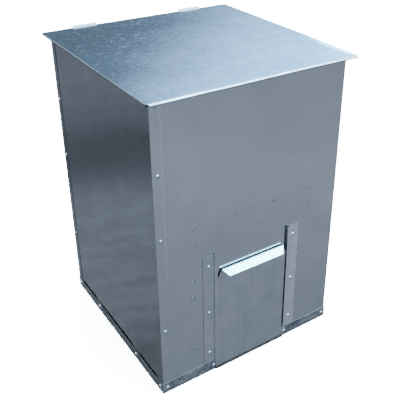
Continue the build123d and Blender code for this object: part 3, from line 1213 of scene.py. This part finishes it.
class NESTING_OT_gate(bpy.types.Operator):
    """Make the gate and the two rails that it lifts in"""

    bl_idname = "nesting_box.gate"
    bl_label = "Gate and rails"

    def execute(self, context):
        zinc, bare = gate_zinc(), cut_edge()
        shape = cad_copy("gate_plate")
        make_piece(shape, "lifting_gate", "gate", ["gate_plate"], zinc, bare)
        # Same finish in two tones: the right rail's much lighter colours are painted light.
        for hand, dark, light in (("left", "bababf", "d8d8dc"), ("right", "dddde0", "f8f8f9")):
            node = f"gate_rail_{hand}"
            finish = rail_zinc_with_painted_light(f"rail_zinc_with_painted_light_{hand}", dark, light)
            make_piece(
                cad_copy(node), f"rail_{hand}", "box", [node], finish, bare
            )
        return {"FINISHED"}


class NESTING_OT_hinges(bpy.types.Operator):
    """Make the two hinges with rolled knuckles"""

    bl_idname = "nesting_box.hinges"
    bl_label = "Hinges"

    def execute(self, context):
        finish = hinge_steel()
        for hand in ("left", "right"):
            for part, body in (("bracket", "box"), ("pin", "box"), ("leaf", "lid")):
                node = f"hinge_{part}_{hand}"
                make_piece(
                    cad_copy(node), f"{part}_{hand}", body, [node], finish
                )
        return {"FINISHED"}


class NESTING_OT_rivets(bpy.types.Operator):
    """Set the domed blind rivets, outside and inside"""

    bl_idname = "nesting_box.rivets"
    bl_label = "Rivets"

    def execute(self, context):
        sizes = context.scene.nesting_fasteners
        found = [rivet for row in RIVET_ROWS for rivet in rivets_of(row)]
        values = {
            "Sides": sizes.sides,
            "Main Material": drawn_aluminium(),
            "Centre Material": mandrel_steel(),
            "Head Radius": sizes.head_diameter / 2,
            "Head Height": sizes.head_height,
            "Stub Radius": sizes.stub_diameter / 2,
            "Tail Radius": sizes.tail_diameter / 2,
            "Neck Radius": 0.36 * sizes.tail_diameter,
            "Tail Length": sizes.tail_length,
            "Ball Radius": 0.31 * sizes.tail_diameter,
            "Ball Height": 0.2 * sizes.tail_diameter,
        }
        heads = [(seat, axis) for seat, _, axis in found]
        tails = [(inside, -axis) for _, inside, axis in found]
        grow_piece("rivet_heads", heads, rivet_head_tree(), values, RIVET_ROWS)
        grow_piece("rivet_tails", tails, rivet_tail_tree(), values, [])
        return {"FINISHED"}


class NESTING_OT_welds(bpy.types.Operator):
    """Press the spot-weld marks of the inner stiffeners into the front"""

    bl_idname = "nesting_box.welds"
    bl_label = "Weld marks"

    def execute(self, context):
        sizes = context.scene.nesting_fasteners
        values = {
            "Sides": 24,
            "Main Material": weld_scale(),
            "Centre Material": wall_zinc(),
            "Ring Radius": sizes.weld_diameter / 2,
            "Ring Relief": sizes.weld_relief,
            "Button Radius": 0.4 * sizes.weld_diameter,
            "Button Height": 0.9 * sizes.weld_relief,
        }
        out, proud = Vector((0, -1, 0)), 0.0001
        marks = [(Vector((x, -HALF - proud, z)), out) for x, z in WELD_PLACES]
        grow_piece("weld_marks", marks, weld_mark_tree(), values, [])
        return {"FINISHED"}


class NESTING_PT_panel(bpy.types.Panel):
    """Lists the nesting box's sizes and pieces"""

    bl_idname = "NESTING_PT_panel"
    bl_label = "Nesting box"
    bl_space_type = "VIEW_3D"
    bl_region_type = "UI"
    bl_category = "Nesting box"

    def draw(self, context):
        scene = context.scene
        for group in (scene.nesting_sheet, scene.nesting_fasteners, scene.nesting_studio):
            box = self.layout.box()
            for size in group.bl_rna.properties.keys():
                if size not in ("rna_type", "name"):
                    box.prop(group, size)
        for step in STEPS:
            self.layout.operator(step.bl_idname)


STEPS = (
    NESTING_OT_stage,
    NESTING_OT_walls,
    NESTING_OT_pan,
    NESTING_OT_lid,
    NESTING_OT_gate,
    NESTING_OT_hinges,
    NESTING_OT_rivets,
    NESTING_OT_welds,
)
CLASSES = (SheetShape, FastenerShape, StudioSetup, *STEPS, NESTING_PT_panel)


def register():
    for made in CLASSES:
        bpy.utils.register_class(made)
    bpy.types.Scene.nesting_sheet = PointerProperty(type=SheetShape)
    bpy.types.Scene.nesting_fasteners = PointerProperty(type=FastenerShape)
    bpy.types.Scene.nesting_studio = PointerProperty(type=StudioSetup)


def unregister():
    del bpy.types.Scene.nesting_studio
    del bpy.types.Scene.nesting_fasteners
    del bpy.types.Scene.nesting_sheet
    for made in reversed(CLASSES):
        bpy.utils.unregister_class(made)


def main():
    register()
    bpy.ops.nesting_box.stage()
    bpy.ops.nesting_box.walls()
    bpy.ops.nesting_box.pan()
    bpy.ops.nesting_box.lid()
    bpy.ops.nesting_box.gate()
    bpy.ops.nesting_box.hinges()
    bpy.ops.nesting_box.rivets()
    bpy.ops.nesting_box.welds()
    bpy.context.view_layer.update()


if __name__ == "__main__":
    main()
